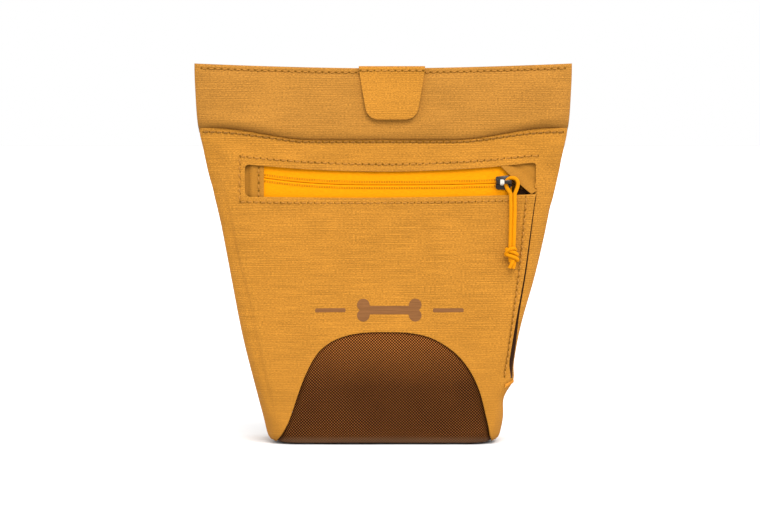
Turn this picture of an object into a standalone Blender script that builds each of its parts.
"""Treat pouch: a tapered fabric bag with a magnetic mouth, a zipped front pocket and a rear belt clip.

Frame: +Z up, the front faces -Y, the origin lies under the middle of the base. Units are metres.
Fabric walls are skins of one tapered outline, each set in or out from it by a named distance.
"""

from math import asin, atan, cos, pi, radians, sin, sqrt, tan

import bmesh
import bpy
from mathutils import Matrix, Vector

# ---- driving dimensions -------------------------------------------------------------------------
HEIGHT = 0.190
SEAM_HEIGHT = 0.1530  # where the mouth bands are sewn to the bag
BASE_HALF_WIDTH = 0.0565
SEAM_HALF_WIDTH = 0.0930
MOUTH_HALF_WIDTH = 0.0950
BASE_HALF_DEPTH = 0.0300
MOUTH_HALF_DEPTH = 0.0026
BASE_ROUNDING = 0.006

WALL = 0.0010  # one fabric wall with its seam allowance
GAP = 0.0003  # between pieces that touch
LINER_WALL = 0.0005
PANEL = 0.0008  # the pocket's outer panel and the scuff patches
PANEL_PROUD = 0.0013  # how far their outer faces stand out from the walls' outline

POCKET_DEPTH = 0.008
ZIP_HEIGHT = 0.1302
ZIP_LEFT = -0.0600
SLIDER_X = 0.0600
WINDOW_LEFT = -0.0680
WINDOW_HALF_HEIGHT = 0.0067
SLIT_TOP_X = 0.0755
SLIT_LOW_X = 0.0630
SLIT_LOW_HEIGHT = 0.0300
SLIT_REACH = 0.020  # how far the slit's cut runs past the bag's side

DOME_CENTRE_X = 0.0020
DOME_HALF_WIDTH = 0.0515
DOME_LEAN = 0.28  # how far a side draws in for each metre of height
DOME_SHOULDER = 0.020
DOME_TOP = 0.0563
DOME_POWER = 3.0
DOME_STEPS = 12

BAND_PROUD = 0.0014
BAND_THICKNESS = 0.0034
BAND_SKIN = 0.0006
BAND_HALF_WIDTH = 0.0860
MAGNET_RADIUS = 0.0060
MAGNET_THICKNESS = 0.0008
MAGNET_SPACING = 0.030
STAY_LENGTH = 0.140
STAY_HEIGHT = 0.028
STAY_THICKNESS = 0.0005

TAB_CENTRE_X = 0.0040
TAB_TOP_WIDTH = 0.0330
TAB_LOW_WIDTH = 0.0225
TAB_LENGTH = 0.0250
TAB_THICKNESS = 0.0012
TAB_CORNER = 0.0045

CORD_DIAMETER = 0.0018
STRAND_LENGTH = 0.0270
STRAND_SPACING = 0.0021
BRIDGE_LEG_X = 0.0042  # the slider's bridge leg that the cord's eye goes round

BACK_HEIGHT = 0.105  # middle of the belt clip and the belt loops
CLIP_WIDTH = 0.020
CLIP_METAL = 0.0009
CLIP_GAP = 0.0070
LOOP_WIDTH = 0.025
LOOP_WEBBING = 0.0014
LOOP_RISE = 0.0085
LOOP_CENTRE_X = 0.046
LOOP_HALF_LENGTH = 0.033

TAN = (0.708, 0.292, 0.041)
BROWN = (0.133, 0.047, 0.012)
ORANGE = (0.955, 0.371, 0.003)
GREY_LINING = (0.30, 0.31, 0.32)
STEEL_GREY = (0.10, 0.10, 0.11)

# ---- the bag's outline --------------------------------------------------------------------------
# "around" runs round the bag: 0 at the front's middle, 1 at the right side, -1 at the left side and 2 at
# the back's middle.
FLAT_TURN = 0.6  # the share of a half face that is flat
CORNER_POWER = 3.0
LEAN = atan((BASE_HALF_DEPTH - MOUTH_HALF_DEPTH) / HEIGHT)


def mix(low, high, share):
    return low + (high - low) * share


def ramp(value, start, end):
    """0 before start, 1 after end, smooth between."""
    share = min(1.0, max(0.0, (value - start) / (end - start)))
    return share * share * (3 - 2 * share)


def half_width(z):
    if z < SEAM_HEIGHT:
        return mix(BASE_HALF_WIDTH, SEAM_HALF_WIDTH, z / SEAM_HEIGHT)
    return mix(SEAM_HALF_WIDTH, MOUTH_HALF_WIDTH, (z - SEAM_HEIGHT) / (HEIGHT - SEAM_HEIGHT))


def half_depth(z):
    return mix(BASE_HALF_DEPTH, MOUTH_HALF_DEPTH, z / HEIGHT)


def flat_share(z):
    return mix(0.70, 0.82, min(1.0, z / SEAM_HEIGHT))


def rounding(z):
    """How far the outline draws in towards the rounded lower edge."""
    below = max(0.0, 1 - z / BASE_ROUNDING)
    return BASE_ROUNDING * (1 - sqrt(1 - below * below))


def corner_turn(share):
    """The "around" value at a share of the way from the flat's end to the side."""
    return FLAT_TURN + (1 - FLAT_TURN) * asin(share ** (CORNER_POWER / 2)) / (pi / 2)


def outline(around, z, inset, wrap=1.0):
    """A point of the bag's outline; wrap below 1 bends the corner back less than the bag's own corner."""
    around = (around + 2) % 4 - 2
    side = -1 if abs(around) <= 1 else 1
    turn = abs(around) if side < 0 else 2 - abs(around)
    width = half_width(z) - rounding(z) - inset
    depth = half_depth(z) - rounding(z) - inset
    flat = flat_share(z) * width
    if turn <= FLAT_TURN:
        x, y = turn / FLAT_TURN * flat, depth
    else:
        angle = (turn - FLAT_TURN) / (1 - FLAT_TURN) * pi / 2
        share = sin(angle) ** (2 / CORNER_POWER)
        x = mix(flat, width, share)
        y = depth * (1 - min(1.0, wrap * share) ** CORNER_POWER) ** (1 / CORNER_POWER)
    return Vector((x if around >= 0 else -x, side * y, z))


POCKET_PROFILE = (  # height, depth of the recess that the front pocket needs
    (0.008, 0.0),
    (0.034, POCKET_DEPTH),
    (0.104, POCKET_DEPTH),
    (0.126, 0.0050),
    (0.140, 0.0045),
    (0.152, 0.0),
)


def pocket_recess(around, z):
    """How far the inner walls are set back to leave room for the front pocket."""
    if abs(around) >= 1:
        return 0.0
    depth = 0.0
    for (low, low_depth), (high, high_depth) in zip(POCKET_PROFILE, POCKET_PROFILE[1:]):
        if low <= z <= high:
            depth = mix(low_depth, high_depth, (z - low) / (high - low))
    left = ramp(around, -0.66, -0.52)
    right = 1 - max(0.0, (around - 0.66) / 0.34)
    return depth * left * right


# ---- building helpers ---------------------------------------------------------------------------
def collection(name):
    made = bpy.data.collections.new(name)
    bpy.context.scene.collection.children.link(made)
    return made


def material(name, colour, roughness, metallic=0.0):
    made = bpy.data.materials.new(name)
    made.use_nodes = True
    shader = made.node_tree.nodes["Principled BSDF"]
    shader.inputs["Base Color"].default_value = (*colour, 1)
    shader.inputs["Roughness"].default_value = roughness
    shader.inputs["Metallic"].default_value = metallic
    return made


def add(name, data, finish=None, parent=None, location=(0, 0, 0), rotation=(0, 0, 0)):
    made = bpy.data.objects.new(name, data)
    PARTS.objects.link(made)
    made.parent = parent
    made.location = location
    made.rotation_euler = rotation
    if finish is not None:
        data.materials.append(finish)
    return made


def empty(name, parent=None, location=(0, 0, 0), rotation=(0, 0, 0)):
    return add(name, None, None, parent, location, rotation)


def keep_in_place(piece, parent):
    """Moves a piece to another parent and leaves it where it is."""
    bpy.context.view_layer.update()
    world = piece.matrix_world.copy()
    piece.parent = parent
    piece.matrix_world = world


def mesh_from(bm, name, smooth_angle=40):
    bmesh.ops.recalc_face_normals(bm, faces=bm.faces)
    mesh = bpy.data.meshes.new(name)
    bm.to_mesh(mesh)
    bm.free()
    mesh.shade_smooth()
    mesh.set_sharp_from_angle(angle=radians(smooth_angle))
    return mesh


def bridge(bm, lower, upper, closed=False):
    """Quads between two rows of vertices."""
    count = len(lower)
    for i in range(count if closed else count - 1):
        j = (i + 1) % count
        bm.faces.new((lower[i], lower[j], upper[j], upper[i]))


def slab(name, outer, inner, finish):
    """A closed wall between an outer and an inner grid of points, both given as rows."""
    bm = bmesh.new()
    grids = [[[bm.verts.new(p) for p in row] for row in grid] for grid in (outer, inner)]
    for rows in grids:
        for lower, upper in zip(rows, rows[1:]):
            bridge(bm, lower, upper)
    for edge in (0, -1):
        bridge(bm, grids[0][edge], grids[1][edge])
        bridge(bm, [row[edge] for row in grids[0]], [row[edge] for row in grids[1]])
    return add(name, mesh_from(bm, name), finish)


def skin(name, arounds, heights, inset, thickness, finish, wrap=1.0):
    """A wall of the bag.

    arounds(z) gives the outline's values at a height; inset(around, z) says how far in the outer face is.
    """
    outer = [[outline(t, z, inset(t, z), wrap) for t in arounds(z)] for z in heights]
    inner = [[outline(t, z, inset(t, z) + thickness, wrap) for t in arounds(z)] for z in heights]
    return slab(name, outer, inner, finish)


def spread(start, end, count):
    return [mix(start, end, i / (count - 1)) for i in range(count)]


def fixed(values):
    return lambda z: values


def level(value):
    return lambda around, z: value


def arc(centre, radius, start, end, steps):
    """Points on an arc from start to end, in degrees."""
    angles = [radians(mix(start, end, i / steps)) for i in range(steps + 1)]
    return [(centre[0] + radius * cos(a), centre[1] + radius * sin(a)) for a in angles]


def rounded(corners, radius, steps=4):
    """A polygon with each corner replaced by a fillet."""
    points = []
    for i, corner in enumerate(corners):
        here = Vector(corner)
        before = (Vector(corners[i - 1]) - here).normalized()
        after = (Vector(corners[(i + 1) % len(corners)]) - here).normalized()
        for k in range(steps + 1):
            share = k / steps
            reach = radius * (1 - share) ** 2 * before + radius * share**2 * after
            points.append(tuple(here + reach))
    return points


def rectangle(width, height, radius):
    x, z = width / 2, height / 2
    return rounded([(-x, -z), (x, -z), (x, z), (-x, z)], radius)


def ribbon(path, thickness):
    """The outline of a strip of even thickness that follows a path."""
    points = [Vector(p) for p in path]
    sides = ([], [])
    for i, point in enumerate(points):
        along = points[min(i + 1, len(points) - 1)] - points[max(i - 1, 0)]
        across = Vector((-along.y, along.x)).normalized() * thickness / 2
        sides[0].append(tuple(point + across))
        sides[1].append(tuple(point - across))
    return sides[0] + sides[1][::-1]


ACROSS_FACE = (pi / 2, 0, 0)  # a flat outline in x and height, its thickness through the wall
SIDE_PROFILE = (pi / 2, 0, pi / 2)  # a flat outline in depth and height, its thickness along X


def flat_piece(name, points, thickness, finish, parent, location=(0, 0, 0), rotation=ACROSS_FACE):
    """A flat outline given half its thickness to each side."""
    curve = bpy.data.curves.new(name, "CURVE")
    curve.dimensions = "2D"
    curve.fill_mode = "BOTH"
    curve.extrude = thickness / 2
    spline = curve.splines.new("POLY")
    spline.points.add(len(points) - 1)
    for target, (x, y) in zip(spline.points, points):
        target.co = (x, y, 0, 1)
    spline.use_cyclic_u = True
    return add(name, curve, finish, parent, location, rotation)


def smooth_path(points, steps):
    """A Catmull-Rom curve through the points, with steps pieces to each stretch."""
    knots = [Vector(p) for p in points]
    knots = [2 * knots[0] - knots[1], *knots, 2 * knots[-1] - knots[-2]]
    path = []
    for a, b, c, d in zip(knots, knots[1:], knots[2:], knots[3:]):
        for k in range(steps):
            t = k / steps
            square = (2 * a - 5 * b + 4 * c - d) * t**2
            cube = (3 * b - a - 3 * c + d) * t**3
            path.append(0.5 * (2 * b + (c - a) * t + square + cube))
    return [*path, knots[-2]]


def tubes(name, paths, radius, finish, parent):
    """One or more round cords as a curve with filled caps."""
    curve = bpy.data.curves.new(name, "CURVE")
    curve.dimensions = "3D"
    curve.bevel_depth = radius
    curve.bevel_resolution = 2
    curve.use_fill_caps = True
    for path in paths:
        spline = curve.splines.new("POLY")
        spline.points.add(len(path) - 1)
        for target, point in zip(spline.points, path):
            target.co = (*point, 1)
    return add(name, curve, finish, parent)


def box(name, low, high, finish, parent=None, bevel=0.0):
    bm = bmesh.new()
    bmesh.ops.create_cube(bm, size=1)
    size = Vector(high) - Vector(low)
    bmesh.ops.scale(bm, vec=size, verts=bm.verts)
    bmesh.ops.translate(bm, vec=(Vector(high) + Vector(low)) / 2, verts=bm.verts)
    if bevel:
        bmesh.ops.bevel(bm, geom=bm.edges, offset=bevel, segments=2, affect="EDGES", profile=0.5)
    return add(name, mesh_from(bm, name), finish, parent)


def disc(name, radius, low_y, high_y, finish, parent, location=(0, 0, 0), sides=24):
    """A round piece with its axis through the wall."""
    bm = bmesh.new()
    turn = Matrix.Translation((0, (low_y + high_y) / 2, 0)) @ Matrix.Rotation(pi / 2, 4, "X")
    bmesh.ops.create_cone(
        bm, cap_ends=True, segments=sides, radius1=radius, radius2=radius, depth=high_y - low_y, matrix=turn
    )
    return add(name, mesh_from(bm, name), finish, parent, location)


def as_mesh(piece):
    """Replaces a curve by its welded mesh, so that it can be cut or can cut."""
    bpy.context.view_layer.update()
    seen = piece.evaluated_get(bpy.context.evaluated_depsgraph_get())
    bm = bmesh.new()
    bm.from_mesh(bpy.data.meshes.new_from_object(seen))
    bmesh.ops.remove_doubles(bm, verts=bm.verts, dist=1e-5)
    name, world, parent = piece.name, piece.matrix_world.copy(), piece.parent
    bpy.data.objects.remove(piece)
    made = add(name, mesh_from(bm, name), None, parent)
    made.matrix_world = world
    return made


def make_cutter(piece):
    for owner in piece.users_collection:
        owner.objects.unlink(piece)
    CUTTERS.objects.link(piece)
    piece.hide_render = True
    piece.display_type = "WIRE"
    return piece


def combine(target, tool, operation):
    """Applies a Boolean with a tool piece and removes the tool."""
    bpy.context.view_layer.update()
    made = target.modifiers.new(operation.lower(), "BOOLEAN")
    made.operation = operation
    made.object = tool
    seen = target.evaluated_get(bpy.context.evaluated_depsgraph_get())
    mesh = bpy.data.meshes.new_from_object(seen)
    target.modifiers.clear()
    target.data = mesh
    bpy.data.objects.remove(tool)
    return target


PRISM_DEPTH = BASE_HALF_DEPTH * 1.4
PRISM_PLACE = BASE_HALF_DEPTH * 0.75


def front_prism(name, points):
    """A cutter with an outline in x and height that reaches through the front half of the bag."""
    return make_cutter(as_mesh(flat_piece(name, points, PRISM_DEPTH, None, None, (0, -PRISM_PLACE, 0))))


def back_prism(name, points):
    return make_cutter(as_mesh(flat_piece(name, points, PRISM_DEPTH, None, None, (0, PRISM_PLACE, 0))))


def dome(margin):
    """The scuff patch's outline: leaning sides under a squarish rounded crown, shrunk by margin."""
    crown_rise = DOME_TOP - margin - DOME_SHOULDER
    side = [(DOME_HALF_WIDTH - margin, 0)]
    for i in range(DOME_STEPS):
        angle = pi / 2 * i / DOME_STEPS
        z = DOME_SHOULDER + crown_rise * sin(angle) ** (2 / DOME_POWER)
        half = DOME_HALF_WIDTH - margin - DOME_LEAN * z
        side.append((half * cos(angle) ** (2 / DOME_POWER), z))
    right = [(DOME_CENTRE_X + x, z) for x, z in side]
    left = [(DOME_CENTRE_X - x, z) for x, z in side]
    return [*right, (DOME_CENTRE_X, DOME_TOP - margin), *reversed(left)]


# ---- fabric walls -------------------------------------------------------------------------------
BASE_HEIGHTS = (0.0, 0.0006, 0.0013)
LINER_FLOOR = 0.0016
WALL_HEIGHTS = (0.0016, 0.0030, 0.006, 0.012, 0.023, 0.034, 0.058, 0.081, 0.104, 0.126, 0.140, 0.1520)
SIDE_TURN = 0.66  # where the side gussets meet the front and back walls
SEAM_TURN = 0.006
GUSSET_START = SIDE_TURN + SEAM_TURN
FRONT_TURNS = spread(-SIDE_TURN, SIDE_TURN, 23)
BACK_TURNS = [2 + t for t in spread(-SIDE_TURN, SIDE_TURN, 15)]


def gusset_turns(start):
    return [*spread(start, 1, 9), *spread(1, 2 - start, 9)[1:]]


def walls(finish):
    skin("front_wall", fixed(FRONT_TURNS), WALL_HEIGHTS, pocket_recess, WALL, finish)
    skin("back_wall", fixed(BACK_TURNS), WALL_HEIGHTS, level(0), WALL, finish)

    # The gussets narrow to a folded strip between the ends of the mouth bands.
    heights = (*WALL_HEIGHTS, SEAM_HEIGHT + 0.0006, 0.170, HEIGHT)

    def turns(side):
        def at(z):
            start = GUSSET_START if z < SEAM_HEIGHT else band_turn(z, BAND_HALF_WIDTH + 0.0008)
            return [side * t for t in gusset_turns(start)]

        return at

    skin("left_gusset", turns(-1), heights, pocket_recess, WALL, finish)
    skin("right_gusset", turns(1), heights, pocket_recess, WALL, finish)


def ring_plate(name, heights, inset, finish):
    """A flat plate with the bag's own outline, which draws in with it at its rounded lower edge."""
    around = [4 * i / 56 for i in range(56)]
    bm = bmesh.new()
    rings = [[bm.verts.new(outline(t, z, inset)) for t in around] for z in heights]
    for lower, upper in zip(rings, rings[1:]):
        bridge(bm, lower, upper, closed=True)
    bm.faces.new(rings[0])
    bm.faces.new(rings[-1])
    add(name, mesh_from(bm, name), finish)


def liner(lining):
    """The inner bag, sewn from five panels a clearance inside the walls and open at the top."""
    clear = WALL + GAP
    heights = (LINER_FLOOR + LINER_WALL + GAP, *WALL_HEIGHTS[1:])

    def panel(name, turns):
        skin(name, fixed(turns), heights, lambda t, z: pocket_recess(t, z) + clear, LINER_WALL, lining)

    panel("liner_front", FRONT_TURNS)
    panel("liner_back", BACK_TURNS)
    panel("liner_left", [-t for t in gusset_turns(GUSSET_START)])
    panel("liner_right", gusset_turns(GUSSET_START))
    ring_plate("liner_base", (LINER_FLOOR, LINER_FLOOR + LINER_WALL), clear, lining)


# ---- front pocket -------------------------------------------------------------------------------
SLIT_TOP = ZIP_HEIGHT - WINDOW_HALF_HEIGHT


def slit_x(z):
    return mix(SLIT_LOW_X, SLIT_TOP_X, (z - SLIT_LOW_HEIGHT) / (SLIT_TOP - SLIT_LOW_HEIGHT))


def pocket_panel(finish, brown):
    """The outer panel with the zip's window, the open slit on its right and the scuff patch let into it."""
    outward = -PANEL_PROUD
    heights = (0.0045, 0.008, 0.016, 0.030, 0.045, 0.060, 0.081, 0.104, 0.120, 0.1265, 0.140, 0.1525)
    turns = (*spread(-0.80, -0.62, 5), *spread(-0.56, 0.56, 7), *spread(0.62, 0.93, 9))

    def wall(grid_inset):
        rows = []
        for z in heights:
            wrap = 0.62 if SLIT_LOW_HEIGHT - 0.001 < z < SLIT_TOP + 0.004 else 1.0
            row = [outline(t, z, grid_inset, wrap if t > 0 else 1.0) for t in turns]
            rows.append(row)
        return rows

    panel = slab("pocket_panel", wall(outward), wall(outward + PANEL), finish)
    beyond = half_width(SLIT_TOP) + SLIT_REACH
    slit = [(SLIT_LOW_X, SLIT_LOW_HEIGHT), (beyond, SLIT_LOW_HEIGHT), (beyond, SLIT_TOP + 0.002)]
    slit = [*slit, (slit_x(SLIT_TOP + 0.002), SLIT_TOP + 0.002)]
    combine(panel, front_prism("slit_cutter", slit), "DIFFERENCE")
    low, high = ZIP_HEIGHT - WINDOW_HALF_HEIGHT, ZIP_HEIGHT + WINDOW_HALF_HEIGHT
    window = rounded([(WINDOW_LEFT, low), (SLIT_TOP_X, low), (SLIT_TOP_X, high), (WINDOW_LEFT, high)], 0.0015)
    combine(panel, front_prism("window_cutter", window), "DIFFERENCE")
    combine(panel, front_prism("dome_cutter", dome(0)), "DIFFERENCE")

    patch_heights = (0.0036, 0.006, 0.012, 0.020, 0.032, 0.046, 0.0600)
    for name, centre, prism in (("front_scuff_patch", 0, front_prism), ("rear_scuff_patch", 2, back_prism)):
        turns = fixed([centre + t for t in spread(-0.97, 0.97, 25)])
        patch = skin(name, turns, patch_heights, level(outward), PANEL, brown)
        combine(patch, prism(name + "_outline", dome(0.0004)), "INTERSECT")


def bar_tack(thread, front):
    """A dense row of thread that ties down the slit's lower end."""
    low = Vector((SLIT_LOW_X - 0.0075, -0.0006, SLIT_LOW_HEIGHT - 0.0040 - ZIP_HEIGHT))
    box("slit_bar_tack", low, low + Vector((0.0050, 0.0003, 0.0014)), thread, front, 0.0001)


# ---- zip ----------------------------------------------------------------------------------------
# Depths behind the pocket panel's outer face.
END_PATCH_DEPTH = (0.00105, 0.00145)
END_PATCH_WIDTH = 0.0125
GARAGE_LEFT = 0.0600
TAPE_DEPTH = (0.0017, 0.0022)
COIL_DEPTH = (0.00245, 0.00345)
SLIDER_TOP_DEPTH = (0.00035, 0.00135)
SLIDER_LOW_DEPTH = (0.0038, 0.0045)
TAPE_SLOT = 0.0006
TAPE_WIDTH = 0.0108
COIL_WIDTH = 0.0023
TAPE_ENDS = (-0.0665, 0.0665)
COIL_ENDS = (-0.0605, 0.0640)


def zipper(orange, finish, front):
    for side, word in ((1, "upper"), (-1, "lower")):
        near, far = side * TAPE_SLOT, side * (TAPE_SLOT + TAPE_WIDTH)
        low = (TAPE_ENDS[0], TAPE_DEPTH[0], min(near, far))
        high = (TAPE_ENDS[1], TAPE_DEPTH[1], max(near, far))
        box(f"zip_tape_{word}", low, high, orange, front, 0.0001)
        far = side * (TAPE_SLOT + COIL_WIDTH)
        low = (COIL_ENDS[0], COIL_DEPTH[0], min(near, far))
        high = (COIL_ENDS[1], COIL_DEPTH[1], max(near, far))
        box(f"zip_coil_{word}", low, high, orange, front, 0.0003)

    depth = END_PATCH_DEPTH[1] - END_PATCH_DEPTH[0]
    middle = (0, sum(END_PATCH_DEPTH) / 2, 0)
    tall = WINDOW_HALF_HEIGHT + 0.004
    left = ZIP_LEFT - END_PATCH_WIDTH
    end_patch = [(left, -tall), (ZIP_LEFT, -tall), (ZIP_LEFT, tall), (left, tall)]
    flat_piece("zip_end_patch", end_patch, depth, finish, front, middle)
    right = SLIT_TOP_X + 0.0005
    garage = [(GARAGE_LEFT, tall), (right, -tall + 0.0060), (right, tall)]
    flat_piece("zip_garage", garage, depth, finish, front, middle)


def slider(metal, parent):
    """Two plates round the tape, a thin neck in the slot between the tapes, and the puller's bridge."""
    half_length, half_height = 0.00475, 0.0037
    plate = [(-half_length, -0.0031), (half_length - 0.002, -half_height), (half_length, -0.0012)]
    plate = rounded(plate + [(x, -z) for x, z in reversed(plate)], 0.0008, 3)

    def plate_at(name, depths):
        piece = flat_piece(name, plate, depths[1] - depths[0], None, parent, (0, sum(depths) / 2, 0))
        return as_mesh(piece)

    body = plate_at("slider_body", SLIDER_TOP_DEPTH)
    body.data.materials.append(metal)
    low_plate = plate_at("slider_low_plate", SLIDER_LOW_DEPTH)
    combine(body, make_cutter(low_plate), "UNION")
    neck_low = (0.0008, SLIDER_TOP_DEPTH[1] - 0.0004, -0.00025)
    neck = box("slider_neck", neck_low, (0.0036, SLIDER_LOW_DEPTH[0] + 0.0003, 0.00025), None, parent)
    combine(body, make_cutter(neck), "UNION")

    # The bridge is an arch along X that the puller cord runs under.
    top = SLIDER_TOP_DEPTH[0]
    leg = BRIDGE_LEG_X
    arch = [(-leg, top + 0.0004), (-leg, top - 0.0022), (0.0009 - leg, top - 0.0032)]
    arch = arch + [(-x, y) for x, y in reversed(arch)]
    strap = ribbon(rounded_path(arch, 3), 0.0008)
    bridge_piece = as_mesh(flat_piece("slider_bridge", strap, 0.0018, None, parent, rotation=(0, 0, 0)))
    combine(body, make_cutter(bridge_piece), "UNION")


def rounded_path(points, steps):
    """A smooth path through a few points in a plane."""
    return [(p.x, p.y) for p in smooth_path([(x, y, 0) for x, y in points], steps)]


CORD_DEPTH = -0.0013  # the puller strands' centre, out from the pocket panel's face
LOOP_HALF_HEIGHT = 0.0065


def puller(orange, loop_parent, cord_parent):
    """The cord's eye through the bridge, and the two strands that hang from it to a knot."""
    r = CORD_DIAMETER / 2
    arch_room = SLIDER_TOP_DEPTH[0] - 0.0003 - r
    left = 0.0003 - STRAND_SPACING / 2
    right = left + STRAND_SPACING
    eye = [
        (left, CORD_DEPTH, -LOOP_HALF_HEIGHT),
        (left, CORD_DEPTH, 0.0007 - LOOP_HALF_HEIGHT),
        (left - 0.0006, CORD_DEPTH, -0.0046),
        (-0.0029, arch_room, -0.0026),
        (-0.0036, arch_room, 0),
        (-0.0026, arch_room, 0.0026),
        (0.0004, arch_room - 0.0006, 0.0042),
        (0.0032, arch_room - 0.0008, 0.0024),
        (0.0038, CORD_DEPTH, -0.0010),
        (right + 0.0006, CORD_DEPTH, -0.0044),
        (right, CORD_DEPTH, 0.0007 - LOOP_HALF_HEIGHT),
        (right, CORD_DEPTH, -LOOP_HALF_HEIGHT),
    ]
    tubes("puller_loop", [smooth_path(eye, 3)], r, orange, loop_parent)

    # The strands, the knot and the tails are one piece, placed from the lift joint's axis at the cord's
    # outer side.
    middle = (left + right) / 2 - 0.0010
    strand_end = -STRAND_LENGTH - 0.0020
    cord = strand_piece("puller_cord", left, -GAP, strand_end, r, cord_parent)
    cord.data.materials.append(orange)
    combine(cord, make_cutter(strand_piece("right_strand", right, -GAP, strand_end, r, cord_parent)), "UNION")
    bm = bmesh.new()
    bmesh.ops.create_uvsphere(bm, u_segments=14, v_segments=8, radius=1)
    bmesh.ops.scale(bm, vec=(0.0027, 0.0021, 0.0034), verts=bm.verts)
    bmesh.ops.translate(bm, vec=(middle, r - 0.0012, -STRAND_LENGTH - 0.0034), verts=bm.verts)
    combine(cord, make_cutter(add("puller_knot", mesh_from(bm, "puller_knot"), None, cord_parent)), "UNION")
    tail_top, tail_end = -STRAND_LENGTH - 0.0045, -STRAND_LENGTH - 0.0105
    for x in (left, right):
        tail = strand_piece("tail", x - 0.0010, tail_top, tail_end, r, cord_parent)
        combine(cord, make_cutter(tail), "UNION")


def strand_piece(name, x, top, low, r, parent):
    """One hanging strand, leaning slightly to the left as it falls."""
    lean = 0.0010 * (low - top) / STRAND_LENGTH
    ends = [(x, r, top), (x + lean * 0.4, r, mix(top, low, 0.5)), (x + lean, r, low)]
    return as_mesh(tubes(name, [smooth_path(ends, 3)], r, None, parent))


# ---- magnetic mouth -----------------------------------------------------------------------------
BAND_HEIGHTS = (SEAM_HEIGHT + 0.0008, 0.162, 0.171, 0.180, HEIGHT)


def band_turn(z, half):
    """The outline value where a face reaches the half width given."""
    flat = flat_share(z) * half_width(z)
    return corner_turn((half - flat) / (half_width(z) - flat))


def mouth_band(name, centre, finish):
    """A folded hem, hollow from end to end, that holds a stay and two magnets."""

    def turns(half):
        def at(z):
            end = band_turn(z, half)
            across = (*spread(-end, -FLAT_TURN, 4), -0.3, 0, 0.3, *spread(FLAT_TURN, end, 4))
            return [centre + t for t in across]

        return at

    band = skin(name, turns(BAND_HALF_WIDTH), BAND_HEIGHTS, level(-BAND_PROUD), BAND_THICKNESS, finish)
    hollow_heights = (BAND_HEIGHTS[0] + 0.0012, *BAND_HEIGHTS[1:-1], HEIGHT - 0.0012)
    room = BAND_THICKNESS - 2 * BAND_SKIN
    inset = level(BAND_SKIN - BAND_PROUD)
    hollow = skin(name + "_hollow", turns(BAND_HALF_WIDTH + 0.003), hollow_heights, inset, room, finish)
    combine(band, make_cutter(hollow), "DIFFERENCE")
    return band


def band_frame(side):
    """An empty on a band's outer face, its local z up the face and its local y through the band."""
    z = (SEAM_HEIGHT + HEIGHT) / 2
    word = "front" if side < 0 else "back"
    place = (0, side * (half_depth(z) + BAND_PROUD), z)
    return empty(f"{word}_band_frame", None, place, (side * LEAN, 0, 0))


def band_insides(word, side, frame, plastic, metal):
    """The stay lies against the hem's inner layer and the magnets against its outer layer."""
    inward = -side
    stay_depth = BAND_THICKNESS - BAND_SKIN - GAP - STAY_THICKNESS / 2
    stay = rectangle(STAY_LENGTH, STAY_HEIGHT, 0.003)
    flat_piece(f"{word}_stay", stay, STAY_THICKNESS, plastic, frame, (0, inward * stay_depth, 0))
    depth = BAND_SKIN + GAP
    ends = sorted((inward * depth, inward * (depth + MAGNET_THICKNESS)))
    for place, hand in ((-1, "left"), (1, "right")):
        location = (place * MAGNET_SPACING, 0, 0.004)
        disc(f"{word}_magnet_{hand}", MAGNET_RADIUS, *ends, metal, frame, location)


TAB_HINGE_DROP = 0.0028  # the stitch line that holds the tab, below the mouth's edge
ANCHOR_THICKNESS = 0.0006


def pull_tab(finish, lip, frame, hinge):
    """The tab hangs from a stitch line; its anchor is folded over the lip's edge."""
    top, low = TAB_TOP_WIDTH / 2, TAB_LOW_WIDTH / 2
    lower = rounded([(-top, 0), (-low, -TAB_LENGTH), (low, -TAB_LENGTH), (top, 0)], TAB_CORNER, 6)
    corner = 7  # the points of one fillet
    shape = [(-top, -GAP), *lower[corner : 3 * corner], (top, -GAP)]
    flat_piece("pull_tab", shape, TAB_THICKNESS, finish, hinge, (TAB_CENTRE_X, TAB_THICKNESS / 2, 0))

    half = (HEIGHT - SEAM_HEIGHT) / 2 / cos(LEAN)
    out = -GAP - ANCHOR_THICKNESS / 2
    over = half + GAP + ANCHOR_THICKNESS / 2
    back = BAND_THICKNESS - 0.0004
    fold = [(out, half - TAB_HINGE_DROP), (out, over), (back, over + back * tan(LEAN))]
    place = (TAB_CENTRE_X, 0, 0)
    anchor = flat_piece(
        "tab_anchor", ribbon(fold, ANCHOR_THICKNESS), TAB_TOP_WIDTH, finish, frame, place, SIDE_PROFILE
    )
    keep_in_place(anchor, lip)


# ---- rear belt clip and loops -------------------------------------------------------------------
PATCH_WIDTH = 0.046
PATCH_HEIGHT = 0.076
PATCH_DEPTH = (0.0003, 0.0013)
PLATE_DEPTH = (0.0016, 0.0016 + CLIP_METAL)
PLATE_TOP = 0.031
PLATE_HEIGHT = 0.061
RIVET_HEIGHTS = (0.024, -0.022)
RIVET_HOLE_RADIUS = 0.0020


def rivet_holes(piece, frame):
    for i, height in enumerate(RIVET_HEIGHTS):
        hole = disc(f"rivet_hole_{i}", RIVET_HOLE_RADIUS, -0.001, 0.006, None, frame, (0, 0, height), 20)
        combine(piece, make_cutter(hole), "DIFFERENCE")


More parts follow.
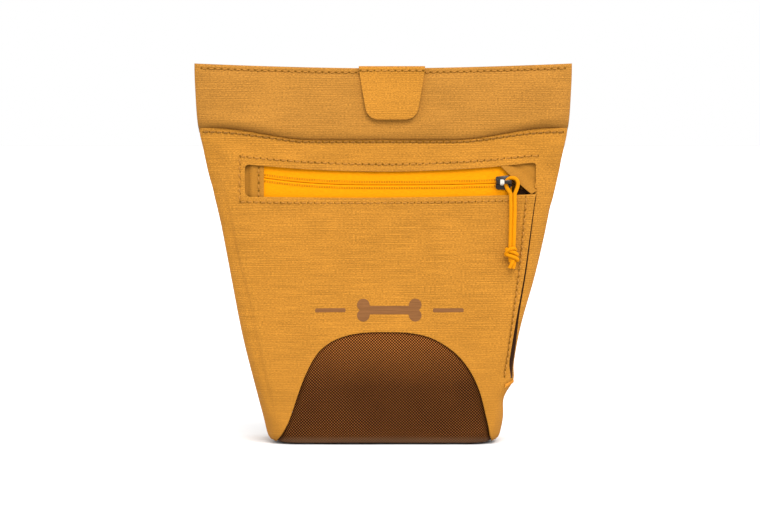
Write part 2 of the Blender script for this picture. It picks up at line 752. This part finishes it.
def rivet(name, height, metal, frame):
    """A domed head on a shank, turned about the rivet's axis."""
    start, seat = PATCH_DEPTH[0] + GAP, PLATE_DEPTH[1] + GAP
    head = [(0.0036, seat), (0.0036, seat + 0.0004), (0.0028, seat + 0.0010), (0.0012, seat + 0.0013)]
    profile = [(0, seat + 0.0014), *reversed(head), (0.0016, seat), (0.0016, start), (0, start)]
    bm = bmesh.new()
    verts = [bm.verts.new((radius, 0, depth)) for radius, depth in profile]
    for a, b in zip(verts, verts[1:]):
        bm.edges.new((a, b))
    mesh = bpy.data.meshes.new(name)
    bm.to_mesh(mesh)
    bm.free()
    piece = add(name, mesh, metal, frame, (0, 0, height), (-pi / 2, 0, 0))
    turn = piece.modifiers.new("turn", "SCREW")
    turn.steps = turn.render_steps = 20
    turn.use_merge_vertices = True
    turn.merge_threshold = 0.00001
    return piece


def belt_clip(metal, brown, frame, tongue_pivot):
    outline_points = rectangle(PATCH_WIDTH, PATCH_HEIGHT, 0.006)
    patch_place = (0, sum(PATCH_DEPTH) / 2, 0)
    patch = as_mesh(flat_piece("clip_patch", outline_points, WALL, None, frame, patch_place))
    patch.data.materials.append(brown)
    rivet_holes(patch, frame)
    outline_points = rectangle(CLIP_WIDTH, PLATE_HEIGHT, 0.002)
    plate_place = (0, sum(PLATE_DEPTH) / 2, PLATE_TOP - PLATE_HEIGHT / 2)
    plate = as_mesh(flat_piece("clip_plate", outline_points, CLIP_METAL, None, frame, plate_place))
    plate.data.materials.append(metal)
    rivet_holes(plate, frame)
    for word, height in zip(("upper", "lower"), RIVET_HEIGHTS):
        rivet(f"clip_rivet_{word}", height, metal, frame)

    # The tongue is the same strip bent over the top, measured from the bend's start.
    bend = (CLIP_GAP + CLIP_METAL) / 2
    path = [(0, 0), *arc((bend, 0.0012), bend, 180, 0, 8)]
    path = path + [(2 * bend, -0.045), (2 * bend - 0.0016, -0.054), (2 * bend - 0.0034, -0.059)]
    path = path + [(2 * bend - 0.0030, -0.0625), (2 * bend - 0.0004, -0.0665)]
    strip = ribbon(path, CLIP_METAL)
    flat_piece("clip_tongue", strip, CLIP_WIDTH, metal, tongue_pivot, rotation=SIDE_PROFILE)


def belt_loops(webbing, frame):
    """Webbing sewn down at both ends, standing off the wall between them."""
    low = GAP + LOOP_WEBBING / 2
    half = LOOP_HALF_LENGTH
    side = [(low, half), (low, half - 0.007), (LOOP_RISE * 0.55, half - 0.0105), (LOOP_RISE, half - 0.0150)]
    side.append((LOOP_RISE, half - 0.0200))
    path = side + [(y, -z) for y, z in reversed(side)]
    for sign, word in ((-1, "left"), (1, "right")):
        shape = ribbon(rounded_path(path, 2), LOOP_WEBBING)
        place = (sign * LOOP_CENTRE_X, 0, 0)
        flat_piece(f"belt_loop_{word}", shape, LOOP_WIDTH, webbing, frame, place, SIDE_PROFILE)


# ---- assembly -----------------------------------------------------------------------------------
for old in list(bpy.data.objects):
    bpy.data.objects.remove(old)
PARTS = collection("treat_pouch")
CUTTERS = collection("cutters")

canvas = material("tan_canvas", TAN, 0.85)
ballistic = material("brown_ballistic", BROWN, 0.7)
orange_tape = material("orange_tape", ORANGE, 0.7)
orange_cord = material("orange_cord", ORANGE, 0.6)
coated_lining = material("coated_lining", GREY_LINING, 0.5)
gunmetal = material("gunmetal", STEEL_GREY, 0.35, 1.0)
black_plastic = material("black_plastic", (0.02, 0.02, 0.02), 0.5)
magnet_steel = material("magnet_steel", (0.6, 0.6, 0.6), 0.3, 1.0)
brown_webbing = material("brown_webbing", BROWN, 0.8)
tack_thread = material("tack_thread", ORANGE, 0.8)

walls(canvas)
ring_plate("base_panel", BASE_HEIGHTS, 0, ballistic)
liner(coated_lining)
pocket_panel(canvas, ballistic)

front_place = (0, -(half_depth(ZIP_HEIGHT) + PANEL_PROUD), ZIP_HEIGHT)
front_face = empty("front_face", None, front_place, (-LEAN, 0, 0))
bar_tack(tack_thread, front_face)
zipper(orange_tape, canvas, front_face)
slider_place = empty("slider_place", front_face, (SLIDER_X, 0, 0))
slider(gunmetal, slider_place)
loop_pivot = empty("loop_pivot", slider_place, (BRIDGE_LEG_X, 0, 0))
cord_pivot = empty("cord_pivot", loop_pivot, (0, CORD_DEPTH - CORD_DIAMETER / 2, -LOOP_HALF_HEIGHT))
puller(orange_cord, loop_pivot, cord_pivot)

LIP_HINGE_HEIGHT = SEAM_HEIGHT - 0.0003
lip_hinge = empty("lip_hinge", None, (0, -(half_depth(LIP_HINGE_HEIGHT) + BAND_PROUD), LIP_HINGE_HEIGHT))
keep_in_place(mouth_band("front_band", 0, canvas), lip_hinge)
mouth_band("back_band", 2, canvas)
front_band_frame = band_frame(-1)
keep_in_place(front_band_frame, lip_hinge)
band_insides("front", -1, front_band_frame, black_plastic, magnet_steel)
back_band_frame = band_frame(1)
band_insides("back", 1, back_band_frame, black_plastic, magnet_steel)
tab_height = (HEIGHT - SEAM_HEIGHT) / 2 / cos(LEAN) - TAB_HINGE_DROP
tab_hinge = empty("tab_hinge", front_band_frame, (0, -GAP - TAB_THICKNESS, tab_height))
pull_tab(canvas, lip_hinge, front_band_frame, tab_hinge)

back_face = empty("back_face", None, (0, half_depth(BACK_HEIGHT), BACK_HEIGHT), (LEAN, 0, 0))
tongue_place = (0, sum(PLATE_DEPTH) / 2, PLATE_TOP + GAP)
clip_pivot = empty("clip_pivot", back_face, tongue_place)
belt_clip(gunmetal, ballistic, back_face, clip_pivot)
belt_loops(brown_webbing, back_face)
